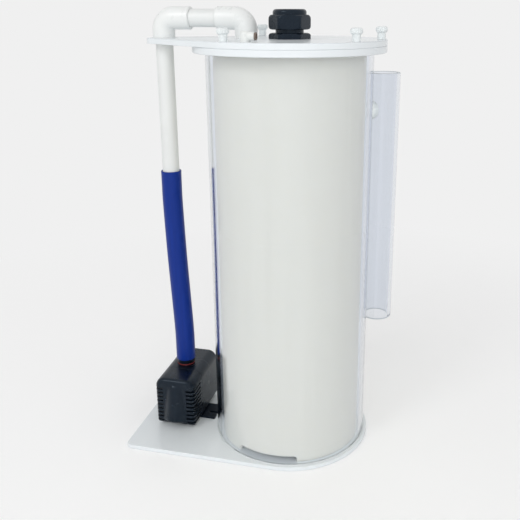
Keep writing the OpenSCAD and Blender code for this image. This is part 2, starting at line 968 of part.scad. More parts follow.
module outlet_barb() {
    barb_r = pipe_r - 0.6;
    base_z = pump_top + outlet_ring_t;
    color("black")
        translate([outlet_x, outlet_y, 0])
            difference() {
                union() {
                    translate([0, 0, pump_top - outlet_socket_h])
                        cylinder(r = outlet_socket_r, h = outlet_socket_h + outlet_ring_t);
                    translate([0, 0, base_z])
                        cylinder(r = pipe_r + 1, h = collar_top - base_z);
                    translate([0, 0, collar_top])
                        cylinder(r = barb_r, h = barb_end - collar_top);
                    for (i = [0:2])
                        translate([0, 0, barb_end - 5 - i * 5])
                            cylinder(r1 = barb_r + 0.4, r2 = barb_r, h = 3);
                }
                translate([0, 0, pump_top - outlet_socket_h - 1])
                    cylinder(r = outlet_bore, h = barb_end - pump_top + outlet_socket_h + 2);
            }
}

module outlet_seal() {
    ring_r = outlet_ring_t / 2;
    color("firebrick")
        translate([outlet_x, outlet_y, pump_top + ring_r])
            rotate_extrude()
                translate([pipe_r + 0.4, 0])
                    circle(r = ring_r - eps, $fn = 24);
}

module cable_inlet() {
    color("black")
        translate([pump_x, motor_back, inlet_z])
            difference() {
                union() {
                    translate([0, -motor_wall, 0])
                        bar_y(inlet_spigot_r, motor_wall + 1);
                    bar_y(inlet_spigot_r + 2, 3);
                    bar_y(inlet_spigot_r + 0.5, inlet_len);
                }
                translate([0, -motor_wall - 1, 0])
                    bar_y(inlet_bore_r, inlet_len + motor_wall + 2);
            }
}

base_plate();
chamber_tube();
inner_tube();
media_grate();
lower_foam();
media_bed();
upper_foam();
media_cover_plate();
flange_ring();
side_tube();
port_bush();
lid();
lid_seal();
elbow_riser();
bridge_pipe();
elbow_inlet();
inlet_pipe();
riser_pipe();
hose();
gland_body();
gland_locknut();
gland_seal();
gland_plug();
gland_cap();
placed_screw(0);  // thumb_screw_1
placed_screw(1);  // thumb_screw_2
placed_screw(2);  // thumb_screw_3
placed_screw(3);  // thumb_screw_4
vent_body();
vent_collet();
pump_foot();
strainer_cover();
volute();
motor_housing();
stator();
impeller();
rotor_magnet();
pump_shaft();
shaft_bushes();
volute_seal();
outlet_barb();
outlet_seal();
cable_inlet();
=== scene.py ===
import json
import math

import bmesh
import bpy
from mathutils import Matrix, Vector


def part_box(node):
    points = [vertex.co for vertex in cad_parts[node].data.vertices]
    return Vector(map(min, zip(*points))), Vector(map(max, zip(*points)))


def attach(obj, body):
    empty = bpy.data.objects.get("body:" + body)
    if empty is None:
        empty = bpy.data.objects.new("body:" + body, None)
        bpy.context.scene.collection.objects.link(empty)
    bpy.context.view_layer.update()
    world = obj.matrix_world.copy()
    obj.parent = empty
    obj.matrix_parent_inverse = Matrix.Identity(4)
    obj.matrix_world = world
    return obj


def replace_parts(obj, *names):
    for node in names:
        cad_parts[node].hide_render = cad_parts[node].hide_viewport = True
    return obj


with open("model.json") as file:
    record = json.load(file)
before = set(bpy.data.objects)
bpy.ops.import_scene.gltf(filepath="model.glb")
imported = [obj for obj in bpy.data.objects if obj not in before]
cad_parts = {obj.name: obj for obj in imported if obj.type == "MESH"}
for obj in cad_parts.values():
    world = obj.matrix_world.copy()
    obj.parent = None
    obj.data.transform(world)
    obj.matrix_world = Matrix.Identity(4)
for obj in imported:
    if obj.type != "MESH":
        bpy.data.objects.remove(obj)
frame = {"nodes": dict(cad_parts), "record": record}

bl_info = {
    "name": "Pump-fed column filter",
    "version": (1, 0, 0),
    "blender": (4, 5, 0),
    "location": "3D View > Sidebar > Filter",
    "description": "Builds the looks of a clear column filter on its packed frame",
    "category": "Object",
}

MM = 0.001

# The part of a noise texture's range that its values fill
NOISE_LOW, NOISE_HIGH = 0.3, 0.7

BODY_OF = {n: b for b, members in frame["record"]["behaviour"]["bodies"].items() for n in members}
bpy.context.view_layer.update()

# The pump's outline across its length, in millimetres
PUMP_X, PUMP_FOOT, PUMP_WIDE, PUMP_TALL = -111, 6.5, 41, 50.5
PUMP_ROUND_TOP, PUMP_ROUND_LOW = 9, 3

# The strainer on the pump's front, in millimetres: its shell, the nose on it and the slots beside the nose
STRAINER_FRONT, STRAINER_BACK, SHOULDER, SHOULDER_RUN = -39.6, -15, 4.2, 8
STRAINER_WALL, STRAINER_SKIN, HOLLOW_PAST_BACK = 2, 2.5, 1
NOSE_LOW, NOSE_TOP, NOSE_OUT, NOSE_HALF_LOW, NOSE_HALF_TOP = 1, 44.5, 7.3, 13, 5.5
NOSE_TAPER, NOSE_LEAD, NOSE_SLOPE = 1.7, 0.16, 0.6
SLOT_COUNT, SLOT_PITCH, SLOT_TALL, SLOT_LOW, SLOT_IN = 9, 4.4, 1.9, 3.2, 12.4
SLOT_PAST_SIDE, SLOT_PAST_NOSE, SLOT_SHORT_OF_BACK = 3, 2, 4

# Sections of the gland's body and cap as (radius, height) points, in millimetres, before the flats are cut
GLAND_FLATS, GLAND_TURN = 33, math.radians(12)
GLAND_BODY = [
    (9, 378), (12.2, 378), (12.5, 378.3), (12.5, 389.5), (18.6, 389.5), (18.6, 392.4), (18.2, 393.5), (17.2, 394.2),
    (16.2, 394.5), (12.5, 394.5), (12.5, 407.7), (12.2, 408), (9, 408),
]
GLAND_DOME_MIDDLE, GLAND_DOME_RADIUS = (12.02, 411.92), 2.88
GLAND_CAP_OUTSIDE = [
    (12.58, 397.5), (16.4, 397.5), (17.6, 398), (18.3, 398.9), (18.6, 400.2), (18.6, 406.4), (18.3, 408), (17.6, 409.2),
    (16.6, 409.9), (15.8, 410), (14.9, 410), (14.9, 411),
]
GLAND_CAP_INSIDE = [(7, 414.8), (6.4, 414.6), (6.1, 414.1), (6.1, 408.3), (12.58, 408.3)]

# The hose's centreline from the pump's collar to its upper end, in millimetres
HOSE_ROUTE = [
    (-113, 0, 63), (-113, 0, 74), (-113, 0, 86), (-113.3, 0, 98), (-114.2, 0, 118), (-115.4, 0, 142),
    (-116.8, 0, 170), (-117.8, 0, 196), (-118.5, 0, 218), (-119, 0, 237), (-119, 0, 250), (-119, 0, 264),
]


def linear(hex_colour):
    """Turns an sRGB hex colour into linear red, green, blue and alpha."""
    parts = [int(hex_colour[i:i + 2], 16) / 255 for i in (1, 3, 5)]
    return tuple(p / 12.92 if p <= 0.04045 else ((p + 0.055) / 1.055) ** 2.4 for p in parts) + (1.0,)


def colour_prop(name, description, hex_colour):
    """A colour that a user may change."""
    return bpy.props.FloatVectorProperty(
        name=name, description=description, subtype="COLOR", size=4, min=0, max=1, default=linear(hex_colour)
    )


def length_prop(name, description, metres):
    """A length that a user may change, in metres."""
    return bpy.props.FloatProperty(
        name=name, description=description, unit="LENGTH", default=metres, min=0, precision=5
    )


class ColumnSizes(bpy.types.PropertyGroup):
    """Sizes of the pieces that are built over the frame."""

    tube_steps: bpy.props.IntProperty(
        name="Tube steps", description="Faces round each clear or ivory tube", default=288, min=48, max=512
    )
    chamber_wall: length_prop("Chamber wall", "Wall of the clear chamber tube", 4 * MM)
    side_wall: length_prop("Side wall", "Wall of the clear side tube", 3 * MM)
    inner_wall: length_prop("Inner wall", "Wall of the ivory inner tube", 3 * MM)
    polish: length_prop("Polished edge", "Width of the broken edge on sawn acrylic", 0.35 * MM)
    bead: length_prop("Weld bead", "Width of the solvent weld bead at the foot of the chamber", 0.9 * MM)
    notch_height: length_prop("Notch height", "Height of the outflow notches", 6 * MM)
    notch_arc: bpy.props.FloatProperty(
        name="Notch arc", description="Arc of each outflow notch", subtype="ANGLE", default=math.radians(49)
    )
    notch_turn: bpy.props.FloatProperty(
        name="Notch turn", description="Direction of the first notch", subtype="ANGLE", default=math.radians(-96)
    )
    notch_count: bpy.props.IntProperty(name="Notches", description="Number of outflow notches", default=3, min=1)
    side_angle: bpy.props.FloatProperty(
        name="Side angle", description="Direction of the side tube", subtype="ANGLE", default=math.radians(26.5)
    )
    port_radius: length_prop("Port radius", "Radius of the walls' opening round the cemented bush", 9 * MM)
    hose_radius: length_prop("Hose radius", "Outer radius of the hose", 9.7 * MM)
    hose_bore: length_prop("Hose bore", "Inner radius of the hose", 8.35 * MM)
    foam_pore: length_prop("Foam pore", "Size of the foam's pores", 1.6 * MM)


class FinishColours(bpy.types.PropertyGroup):
    """Colours of the finishes."""

    opal: colour_prop("Opal acrylic", "Sawn opal acrylic of the base and the lid", "#e9eef1")
    clear: colour_prop("Clear acrylic", "Tint of the clear tubes", "#f0f3f8")
    ivory: colour_prop("Ivory PVC", "Inner tube", "#f2efe4")
    pipe: colour_prop("White PVC", "Pipes and elbows", "#e9ebea")
    hose: colour_prop("Blue hose", "Soft PVC hose", "#0c3089")
    gland: colour_prop("Black nylon", "Gland", "#0e1722")
    pump: colour_prop("Black ABS", "Pump", "#0a131e")
    screw: colour_prop("Milky nylon", "Thumb screws", "#e6ebec")
    vent: colour_prop("White acetal", "Vent", "#e8eae8")
    collet: colour_prop("Brown acetal", "Vent collet", "#85766c")
    red: colour_prop("Red rubber", "Ring on the pump outlet", "#6e1d1c")
    rubber: colour_prop("Black rubber", "Seals and bushes", "#191a1c")
    foam: colour_prop("Foam", "Filter pads", "#27334f")
    media: colour_prop("Medium", "Granules of the medium", "#a08468")
    grey: colour_prop("Grey plastic", "Perforated plates", "#c2c4c4")


class StageSettings(bpy.types.PropertyGroup):
    """Camera, lamps and floor."""

    azimuth: bpy.props.FloatProperty(
        name="Azimuth", description="Direction of the camera round the object", subtype="ANGLE",
        default=math.radians(13.53),
    )
    distance: length_prop("Distance", "Level distance from the tube axis to the camera", 0.6185)
    height: length_prop("Height", "Height of the camera", 0.4142)
    pitch: bpy.props.FloatProperty(
        name="Pitch", description="How far the camera looks down", subtype="ANGLE", default=math.radians(16.28)
    )
    yaw: bpy.props.FloatProperty(
        name="Yaw", description="Turn of the camera away from the tube axis", subtype="ANGLE",
        default=math.radians(-0.38),
    )
    lens: bpy.props.FloatProperty(name="Lens", description="Focal length", subtype="DISTANCE_CAMERA", default=47.02)
    shift_x: bpy.props.FloatProperty(name="Shift X", description="Shift of the lens to the side", default=-0.066)
    shift_y: bpy.props.FloatProperty(name="Shift Y", description="Shift of the lens upward", default=-0.10)
    key: bpy.props.FloatProperty(name="Key", description="Power of the large front lamp", subtype="POWER", default=31.0)
    fill: bpy.props.FloatProperty(name="Fill", description="Power of the side lamp", subtype="POWER", default=2.5)
    back: bpy.props.FloatProperty(name="Back", description="Power of the lamp behind", subtype="POWER", default=9.0)
    highlight: bpy.props.FloatProperty(
        name="Highlight", description="Power of the small high lamp", subtype="POWER", default=5.0
    )
    sky: bpy.props.FloatProperty(name="Sky", description="Strength of the light from the sides", default=0.68)
    sky_top: bpy.props.FloatProperty(name="Sky top", description="Strength of the light from above", default=0.55)
    backdrop: colour_prop("Backdrop", "Colour behind the object", "#f0f0f0")
    floor_lift: bpy.props.FloatProperty(
        name="Floor lift", description="Brightness added to the seen floor", default=0.23
    )


# ---- making meshes ----


def quarter(steps, start=0):
    """Angles over a quarter turn, after a number of quarters."""
    return [math.pi / 2 * (start + k / steps) for k in range(steps + 1)]


def spin(bm, loop, steps, centre=(0.0, 0.0), across_flats=None, turn=0.0):
    """Turns a closed loop of (radius, height) points round an upright axis, and may trim it to a hexagon's flats."""
    rings = []
    for k in range(steps):
        a = 2 * math.pi * k / steps
        flat = across_flats / 2 / math.cos((a - turn) % (math.pi / 3) - math.pi / 6) if across_flats else math.inf
        held = [(min(r, flat), z) for r, z in loop]
        rings.append([bm.verts.new((centre[0] + r * math.cos(a), centre[1] + r * math.sin(a), z)) for r, z in held])
    count = len(loop)
    for k in range(steps):
        here, there = rings[k], rings[(k + 1) % steps]
        for i in range(count):
            j = (i + 1) % count
            bm.faces.new((here[i], there[i], there[j], here[j]))


def tube_loop(outer, inner, low, high, edge, levels):
    """Section of a tube with broken edges, as a closed loop of (radius, height) points."""
    heights = [low + edge + (high - low - 2 * edge) * i / levels for i in range(levels + 1)]
    loop = [(outer - edge, low)] + [(outer, z) for z in heights] + [(outer - edge, high), (inner + edge, high)]
    return loop + [(inner, z) for z in reversed(heights)] + [(inner + edge, low)]


def slab(bm, outline, low, high, edge):
    """Raises a plate from an outline of (x, y) points, with broken edges top and bottom."""
    count = len(outline)
    rings = []
    for inset, z in ((edge, low), (0.0, low + edge), (0.0, high - edge), (edge, high)):
        ring = []
        for i, (x, y) in enumerate(outline):
            ahead, behind = Vector(outline[(i + 1) % count]), Vector(outline[i - 1])
            along = (ahead - behind).normalized()
            ring.append(bm.verts.new((x - along.y * inset, y + along.x * inset, z)))
        rings.append(ring)
    for below, above in zip(rings, rings[1:]):
        for i in range(count):
            j = (i + 1) % count
            bm.faces.new((below[i], below[j], above[j], above[i]))
    bm.faces.new(rings[-1])
    bm.faces.new(list(reversed(rings[0])))


def sweep(bm, path, outer, inner, sides, flare):
    """Draws a hollow tube along a path that lies in the plane y = 0. Its rounded last end opens by flare."""
    walls = []
    last = len(path) - 1
    lip = (outer - inner) / 2
    for i, point in enumerate(path):
        along = (path[min(i + 1, last)] - path[max(i - 1, 0)]).normalized()
        across = along.cross(Vector((0, 1, 0))).normalized()
        from_end = (path[last] - point).length
        grow = flare * max(0.0, 1 - from_end / (8 * MM)) ** 2
        tuck = 0.0 if from_end > lip else lip * (1 - math.sqrt(max(0.0, 1 - (1 - from_end / lip) ** 2)))
        rings = []
        for radius in (outer + grow - tuck, inner + grow * 0.4 + tuck):
            rings.append([
                bm.verts.new(point + radius * (math.cos(a) * Vector((0, 1, 0)) + math.sin(a) * across))
                for a in (2 * math.pi * k / sides for k in range(sides))
            ])
        walls.append(rings)
    for one, two in zip(walls, walls[1:]):
        for k in range(sides):
            m = (k + 1) % sides
            bm.faces.new((one[0][k], one[0][m], two[0][m], two[0][k]))
            bm.faces.new((one[1][k], two[1][k], two[1][m], one[1][m]))
    for k in range(sides):
        m = (k + 1) % sides
        bm.faces.new((walls[0][0][k], walls[0][1][k], walls[0][1][m], walls[0][0][m]))
        bm.faces.new((walls[-1][0][k], walls[-1][0][m], walls[-1][1][m], walls[-1][1][k]))


def smooth_route(points, per_span):
    """Points on one smooth curve through a route, in metres."""
    knots = [Vector(p) * MM for p in points]
    curve = []
    for i in range(len(knots) - 1):
        before, here, there, after = knots[max(i - 1, 0)], knots[i], knots[i + 1], knots[min(i + 2, len(knots) - 1)]
        for k in range(per_span):
            t = k / per_span
            curve.append(0.5 * (
                2 * here + (there - before) * t + (2 * before - 5 * here + 4 * there - after) * t * t
                + (3 * here - before - 3 * there + after) * t ** 3
            ))
    return curve + [knots[-1]]


def finished_mesh(name, bm, angle=30.0):
    """Closes a mesh in the making: joined points, outward faces, smooth except at its edges."""
    bmesh.ops.remove_doubles(bm, verts=bm.verts, dist=1e-7)
    bmesh.ops.recalc_face_normals(bm, faces=bm.faces)
    mesh = bpy.data.meshes.new(name)
    bm.to_mesh(mesh)
    bm.free()
    return creased(mesh, angle)


def creased(mesh, angle=30.0):
    """Smooth shading that stops at edges sharper than an angle in degrees."""
    mesh.shade_smooth()
    mesh.set_sharp_from_angle(angle=math.radians(angle))
    return mesh


def pump_ring(inset):
    """Outline of the pump across its length, as (x, z) points, with larger rounds above than below."""
    half, tall, steps = PUMP_WIDE / 2 - inset, PUMP_TALL - inset, 8
    above, below = PUMP_ROUND_TOP - inset, PUMP_ROUND_LOW - min(inset, 0.8 * PUMP_ROUND_LOW)
    middles = (
        (half - above, tall - above, above), (above - half, tall - above, above),
        (below - half, inset + below, below), (half - below, inset + below, below),
    )
    arcs = [
        [(x + r * math.cos(a), z + r * math.sin(a)) for a in quarter(steps, k)] for k, (x, z, r) in enumerate(middles)
    ]
    ring = []
    for k, arc in enumerate(arcs):
        here, there = arc[-1], arcs[(k + 1) % 4][0]
        ring += arc + [tuple(h + (t - h) * i / steps for h, t in zip(here, there)) for i in range(1, steps)]
    return ring


def pump_shell(bm, sections, nose):
    """Skins the pump's outline from back to front through (y, inset) sections, and closes the front round its nose."""

    def point(x, y, z):
        return bm.verts.new(((PUMP_X + x) * MM, y * MM, (PUMP_FOOT + z) * MM))

    rings = [[point(x, y, z) for x, z in pump_ring(inset)] for y, inset in sections]
    front, inset = sections[-1]
    edge, middle, steps = pump_ring(inset), PUMP_TALL / 2, 24
    for k in range(1, steps):
        share = 1 - k / steps
        spots = [(x * share, middle + (z - middle) * share) for x, z in edge]
        rings.append([point(x, front - nose(x, z), z) for x, z in spots])
    count = len(edge)
    for one, two in zip(rings, rings[1:]):
        for i in range(count):
            j = (i + 1) % count
            bm.faces.new((one[i], one[j], two[j], two[i]))
    tip = point(0, front - nose(0, middle), middle)
    for i in range(count):
        bm.faces.new((rings[-1][i], rings[-1][(i + 1) % count], tip))
    bm.faces.new(rings[0])


def nose_rise(x, z):
    """How far the strainer's nose stands out: full and broad low down, narrow and rounded at its top."""
    t = (z - NOSE_LOW) / (NOSE_TOP - NOSE_LOW)
    if not 0 < t < 1:
        return 0.0
    wide = NOSE_HALF_LOW - (NOSE_HALF_LOW - NOSE_HALF_TOP) * t ** NOSE_TAPER
    ease = min(1.0, t / NOSE_LEAD)
    out = (1 - t * t) ** NOSE_SLOPE * ease * ease * (3 - 2 * ease)
    return NOSE_OUT * out * max(0.0, 1 - (x / wide) ** 2)


def cut(mesh, cutters):
    """Takes cutter meshes away from a mesh and returns what is left."""
    body = bpy.data.objects.new("body_in_work", mesh)
    bpy.context.scene.collection.objects.link(body)
    tools = []
    for cutter in cutters:
        tool = bpy.data.objects.new("cutter", cutter)
        bpy.context.scene.collection.objects.link(tool)
        step = body.modifiers.new("cut", "BOOLEAN")
        step.operation, step.solver, step.object = "DIFFERENCE", "EXACT", tool
        tools.append(tool)
    bpy.context.view_layer.update()
    left = bpy.data.meshes.new_from_object(body.evaluated_get(bpy.context.evaluated_depsgraph_get()))
    for done in [body] + tools:
        bpy.data.objects.remove(done)
    if len(left.polygons) == 0:
        raise RuntimeError("a cut left nothing")
    return left


def bar(radius, start, end, steps=64):
    """A round cutter between two points."""
    bm = bmesh.new()
    start, end = Vector(start), Vector(end)
    turn = (end - start).to_track_quat("Z", "Y").to_matrix().to_4x4()
    place = Matrix.Translation((start + end) / 2) @ turn
    bmesh.ops.create_cone(
        bm, cap_ends=True, segments=steps, radius1=radius, radius2=radius, depth=(end - start).length, matrix=place
    )
    mesh = bpy.data.meshes.new("bar")
    bm.to_mesh(mesh)
    bm.free()
    return mesh


def round_off(mesh, centre):
    """Gives the turned faces of an upright tube exact round normals, so that no facet shows through clear walls."""
    corners = []
    for face in mesh.polygons:
        middle = Vector((face.center.x - centre[0], face.center.y - centre[1], 0)).normalized()
        side = face.normal.cross(middle).z
        for i in face.loop_indices:
            # A face turned this far from the axis is the wall of an opening, and keeps its own normal
            if abs(side) > 0.02:
                corners.append(face.normal.copy())
                continue
            point = mesh.vertices[mesh.loops[i].vertex_index].co
            out = Vector((point.x - centre[0], point.y - centre[1], 0)).normalized()
            level = math.sqrt(max(0.0, 1 - face.normal.z ** 2))
            corners.append(out * math.copysign(level, face.normal.dot(middle)) + Vector((0, 0, face.normal.z)))
    mesh.shade_smooth()
    mesh.normals_split_custom_set(corners)


def place(name, mesh, node, material):
    """Puts a piece on the frame in the place of a CAD node, with that node's body."""
    mesh.materials.clear()
    mesh.materials.append(material)
    piece = bpy.data.objects.new(name, mesh)
    bpy.context.scene.collection.objects.link(piece)
    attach(piece, BODY_OF[node])
    return piece


def paint(material, *nodes):
    """Gives CAD nodes that stay in view a finish."""
    for node in nodes:
        target = frame["nodes"][node]
        if not target.material_slots:
            target.data.materials.append(material)
        for held in target.material_slots:
            held.material = material


# ---- making finishes ----


def add_node(tree, kind, settings=None, inputs=None, links=None):
    """Adds a shader node with its settings, its plain input values and its links."""
    node = tree.nodes.new(kind)
    for key, value in (settings or {}).items():
        setattr(node, key, value)
    for key, value in (inputs or {}).items():
        node.inputs[key].default_value = value
    for key, socket in (links or {}).items():
        tree.links.new(socket, node.inputs[key])
    return node


def new_tree(name):
    """Starts a material with an empty node tree."""
    material = bpy.data.materials.get(name) or bpy.data.materials.new(name)
    material.use_nodes = True
    material.node_tree.nodes.clear()
    return material, material.node_tree


def darker(colour, share):
    """The same colour with a share of its light taken away."""
    return tuple(c * (1 - share) for c in colour[:3]) + (1.0,)


def solid_finish(name, colour, depth, cloud_mm, rough, rough_swing=0.04, stretch=(1, 1, 1), grain_mm=0.5,
                 grain_depth_mm=0.01, edge_mm=0.25, shader=None):
    """A moulded, drawn or sawn solid: a cloudy colour, a roughness that follows it, a fine grain and broken edges.

    cloud_mm is the size of its soft clouds or streaks, grain_mm that of its grain, and edge_mm the radius of its edges.
    """
    material, tree = new_tree(name)
    where = add_node(tree, "ShaderNodeTexCoord").outputs["Object"]
    drawn = add_node(tree, "ShaderNodeMapping", inputs={"Scale": stretch}, links={"Vector": where}).outputs[0]
    cloud = add_node(
        tree, "ShaderNodeTexNoise", inputs={"Scale": 1 / (cloud_mm * MM), "Detail": 3.0, "Roughness": 0.55},
        links={"Vector": drawn},
    ).outputs["Fac"]
    spread = add_node(tree, "ShaderNodeMapRange", inputs={1: NOISE_LOW, 2: NOISE_HIGH}, links={0: cloud}).outputs[0]
    tone = add_node(
        tree, "ShaderNodeMix", {"data_type": "RGBA"}, {6: darker(colour, depth), 7: tuple(colour)}, {0: spread}
    ).outputs[2]
    sheen = add_node(
        tree, "ShaderNodeMapRange",
        inputs={1: NOISE_LOW, 2: NOISE_HIGH, 3: rough - rough_swing, 4: rough + rough_swing}, links={0: cloud},
    ).outputs[0]
    grain = add_node(
        tree, "ShaderNodeTexNoise", inputs={"Scale": 1 / (grain_mm * MM), "Detail": 2.0}, links={"Vector": drawn}
    ).outputs["Fac"]
    edges = add_node(tree, "ShaderNodeBevel", {"samples": 6}, {"Radius": edge_mm * MM}).outputs[0]
    relief = add_node(
        tree, "ShaderNodeBump", inputs={"Strength": 1.0, "Distance": grain_depth_mm * MM},
        links={"Height": grain, "Normal": edges},
    ).outputs[0]
    skin = add_node(
        tree, "ShaderNodeBsdfPrincipled", inputs=shader or {},
        links={"Base Color": tone, "Roughness": sheen, "Normal": relief},
    )
    add_node(tree, "ShaderNodeOutputMaterial", links={"Surface": skin.outputs[0]})
    return material


def clear_finish(name, colour, line_mm, line_depth_mm, rough):
    """Clear drawn acrylic. Lamps and soft light pass straight through, and the eye gets the bent view."""
    material, tree = new_tree(name)
    where = add_node(tree, "ShaderNodeTexCoord").outputs["Object"]
    # The die leaves faint lines along the tube, so the pattern is drawn out forty times in its height
    drawn = add_node(tree, "ShaderNodeMapping", inputs={"Scale": (1, 1, 0.025)}, links={"Vector": where}).outputs[0]
    lines = add_node(
        tree, "ShaderNodeTexNoise", inputs={"Scale": 1 / (line_mm * MM), "Detail": 1.0}, links={"Vector": drawn}
    ).outputs["Fac"]
    tone = add_node(
        tree, "ShaderNodeMix", {"data_type": "RGBA"}, {6: darker(colour, 0.03), 7: tuple(colour)}, {0: lines}
    ).outputs[2]
    relief = add_node(
        tree, "ShaderNodeBump", inputs={"Strength": 1.0, "Distance": line_depth_mm * MM}, links={"Height": lines}
    ).outputs[0]
    glass = add_node(
        tree, "ShaderNodeBsdfPrincipled", inputs={"Roughness": rough, "IOR": 1.49, "Transmission Weight": 1.0},
        links={"Base Color": tone, "Normal": relief},
    )
    open_way = add_node(tree, "ShaderNodeBsdfTransparent", inputs={"Color": linear("#fdfefe")})
    path = add_node(tree, "ShaderNodeLightPath")
    soft = add_node(
        tree, "ShaderNodeMath", {"operation": "MAXIMUM"},
        links={0: path.outputs["Is Shadow Ray"], 1: path.outputs["Is Diffuse Ray"]},
    ).outputs[0]
    both = add_node(tree, "ShaderNodeMixShader", links={0: soft, 1: glass.outputs[0], 2: open_way.outputs[0]})
    add_node(tree, "ShaderNodeOutputMaterial", links={"Surface": both.outputs[0]})
    return material


def cell_finish(name, colour, cell_mm, depth_mm, rough, swing):
    """Foam pores or granules: cells of their real size, each with its own tone and its own rounded relief."""
    material, tree = new_tree(name)
    where = add_node(tree, "ShaderNodeTexCoord").outputs["Object"]
    cells = add_node(tree, "ShaderNodeTexVoronoi", inputs={"Scale": 1 / (cell_mm * MM)}, links={"Vector": where})
    shade = add_node(
        tree, "ShaderNodeMix", {"data_type": "RGBA"}, {6: darker(colour, swing), 7: tuple(colour)},
        {0: cells.outputs["Color"]},
    ).outputs[2]
    relief = add_node(
        tree, "ShaderNodeBump", {"invert": True}, {"Strength": 1.0, "Distance": depth_mm * MM},
        {"Height": cells.outputs["Distance"]},
    ).outputs[0]
    skin = add_node(
        tree, "ShaderNodeBsdfPrincipled", inputs={"Roughness": rough}, links={"Base Color": shade, "Normal": relief}
    )
    add_node(tree, "ShaderNodeOutputMaterial", links={"Surface": skin.outputs[0]})
    return material


def eye_paths(tree):
    """One for what the camera sees straight, mirrored or through clear walls, and nought for light on its way."""
    path = add_node(tree, "ShaderNodeLightPath")
    bent = add_node(
        tree, "ShaderNodeMath", {"operation": "MAXIMUM"},
        links={0: path.outputs["Is Glossy Ray"], 1: path.outputs["Is Transmission Ray"]},
    ).outputs[0]
    return add_node(
        tree, "ShaderNodeMath", {"operation": "MAXIMUM"}, links={0: path.outputs["Is Camera Ray"], 1: bent}
    ).outputs[0]


# ---- the pieces ----


class FILTER_OT_stage(bpy.types.Operator):
    """Sets the camera, the soft lamps, the pale world and the floor"""

    bl_idname = "filter.stage"
    bl_label = "Stage"

    def execute(self, context):
        look = context.scene.filter_stage
        scene = context.scene
        camera = bpy.data.objects.new("camera", bpy.data.cameras.new("camera"))
        camera.location = (
            look.distance * math.sin(look.azimuth), -look.distance * math.cos(look.azimuth), look.height
        )
        camera.rotation_euler = (math.pi / 2 - look.pitch, 0, look.azimuth + look.yaw)
        camera.data.lens = look.lens
        camera.data.sensor_width = 36
        camera.data.shift_x, camera.data.shift_y = look.shift_x, look.shift_y
        camera.data.clip_start = 0.01
        scene.collection.objects.link(camera)
        scene.camera = camera
        scene.view_settings.view_transform = "Standard"

        middle = Vector((-0.03, 0, 0.2))
        # The large boxes only spread light; the small high one also gives the highlights
        for name, power, size, where, mirrored in (
            ("key_softbox", look.key, 2.4, (0.4, -2.5, 0.75), False),
            ("side_softbox", look.fill, 1.6, (2.3, -0.6, 0.9), False),
            ("back_softbox", look.back, 2.0, (-0.6, 2.4, 1.3), False),
            ("top_highlight", look.highlight, 0.5, (-0.75, -1.25, 1.35), True),
        ):
            lamp = bpy.data.lights.new(name, "AREA")
            lamp.energy, lamp.shape, lamp.size = power, "SQUARE", size
            holder = bpy.data.objects.new(name, lamp)
            holder.location = where
            holder.visible_glossy = holder.visible_transmission = mirrored
            holder.rotation_euler = (middle - Vector(where)).to_track_quat("-Z", "Y").to_euler()
            scene.collection.objects.link(holder)

        world = bpy.data.worlds.new("pale_room")
        scene.world = world
        world.use_nodes = True
        tree = world.node_tree
        tree.nodes.clear()
        # A tent that is brighter at its sides than overhead, so that level faces are a little greyer than upright ones
        up = add_node(
            tree, "ShaderNodeSeparateXYZ", links={0: add_node(tree, "ShaderNodeTexCoord").outputs["Generated"]}
        ).outputs["Z"]
        level = add_node(
            tree, "ShaderNodeMapRange", inputs={1: 0.0, 2: 1.0, 3: look.sky, 4: look.sky_top}, links={0: up}
        )
        sky = add_node(tree, "ShaderNodeBackground", inputs={0: (1, 1, 1, 1)}, links={1: level.outputs[0]})
        back = add_node(tree, "ShaderNodeBackground", inputs={0: tuple(look.backdrop), 1: 1.0})
        mix = add_node(
            tree, "ShaderNodeMixShader", links={0: eye_paths(tree), 1: sky.outputs[0], 2: back.outputs[0]}
        )
        add_node(tree, "ShaderNodeOutputWorld", links={"Surface": mix.outputs[0]})

        # Matt studio paper: it keeps the shadow near the object and turns into the backdrop further out
        paper, tree = new_tree("studio_paper_matt")
        where = add_node(tree, "ShaderNodeTexCoord").outputs["Object"]
        reach = add_node(tree, "ShaderNodeVectorMath", {"operation": "LENGTH"}, links={0: where}).outputs["Value"]
        far = add_node(tree, "ShaderNodeMapRange", inputs={1: 0.2, 2: 0.7}, links={0: reach}).outputs[0]
        fibre = add_node(tree, "ShaderNodeTexNoise", inputs={"Scale": 900.0}, links={"Vector": where}).outputs["Fac"]
        tone = add_node(
            tree, "ShaderNodeMix", {"data_type": "RGBA"}, {6: linear("#e7e7e7"), 7: linear("#ebebeb")}, {0: fibre}
        ).outputs[2]
        lit = add_node(tree, "ShaderNodeBsdfDiffuse", links={"Color": tone})
        lift = add_node(tree, "ShaderNodeEmission", inputs={0: tuple(look.backdrop), 1: look.floor_lift})
        near = add_node(tree, "ShaderNodeAddShader", links={0: lit.outputs[0], 1: lift.outputs[0]})
        away = add_node(tree, "ShaderNodeEmission", inputs={0: tuple(look.backdrop), 1: 1.0})
        shown = add_node(tree, "ShaderNodeMixShader", links={0: far, 1: near.outputs[0], 2: away.outputs[0]})
        whole = add_node(
            tree, "ShaderNodeMixShader", links={0: eye_paths(tree), 1: lit.outputs[0], 2: shown.outputs[0]}
        )
        add_node(tree, "ShaderNodeOutputMaterial", links={"Surface": whole.outputs[0]})
        bm = bmesh.new()
        bmesh.ops.create_grid(bm, x_segments=8, y_segments=8, size=30.0)
        mesh = bpy.data.meshes.new("floor")
        bm.to_mesh(mesh)
        bm.free()
        mesh.materials.append(paper)
        floor = bpy.data.objects.new("floor", mesh)
        # Just clear of the feet, so that no two faces lie on each other
        floor.location.z = -0.2 * MM
        scene.collection.objects.link(floor)
        return {"FINISHED"}


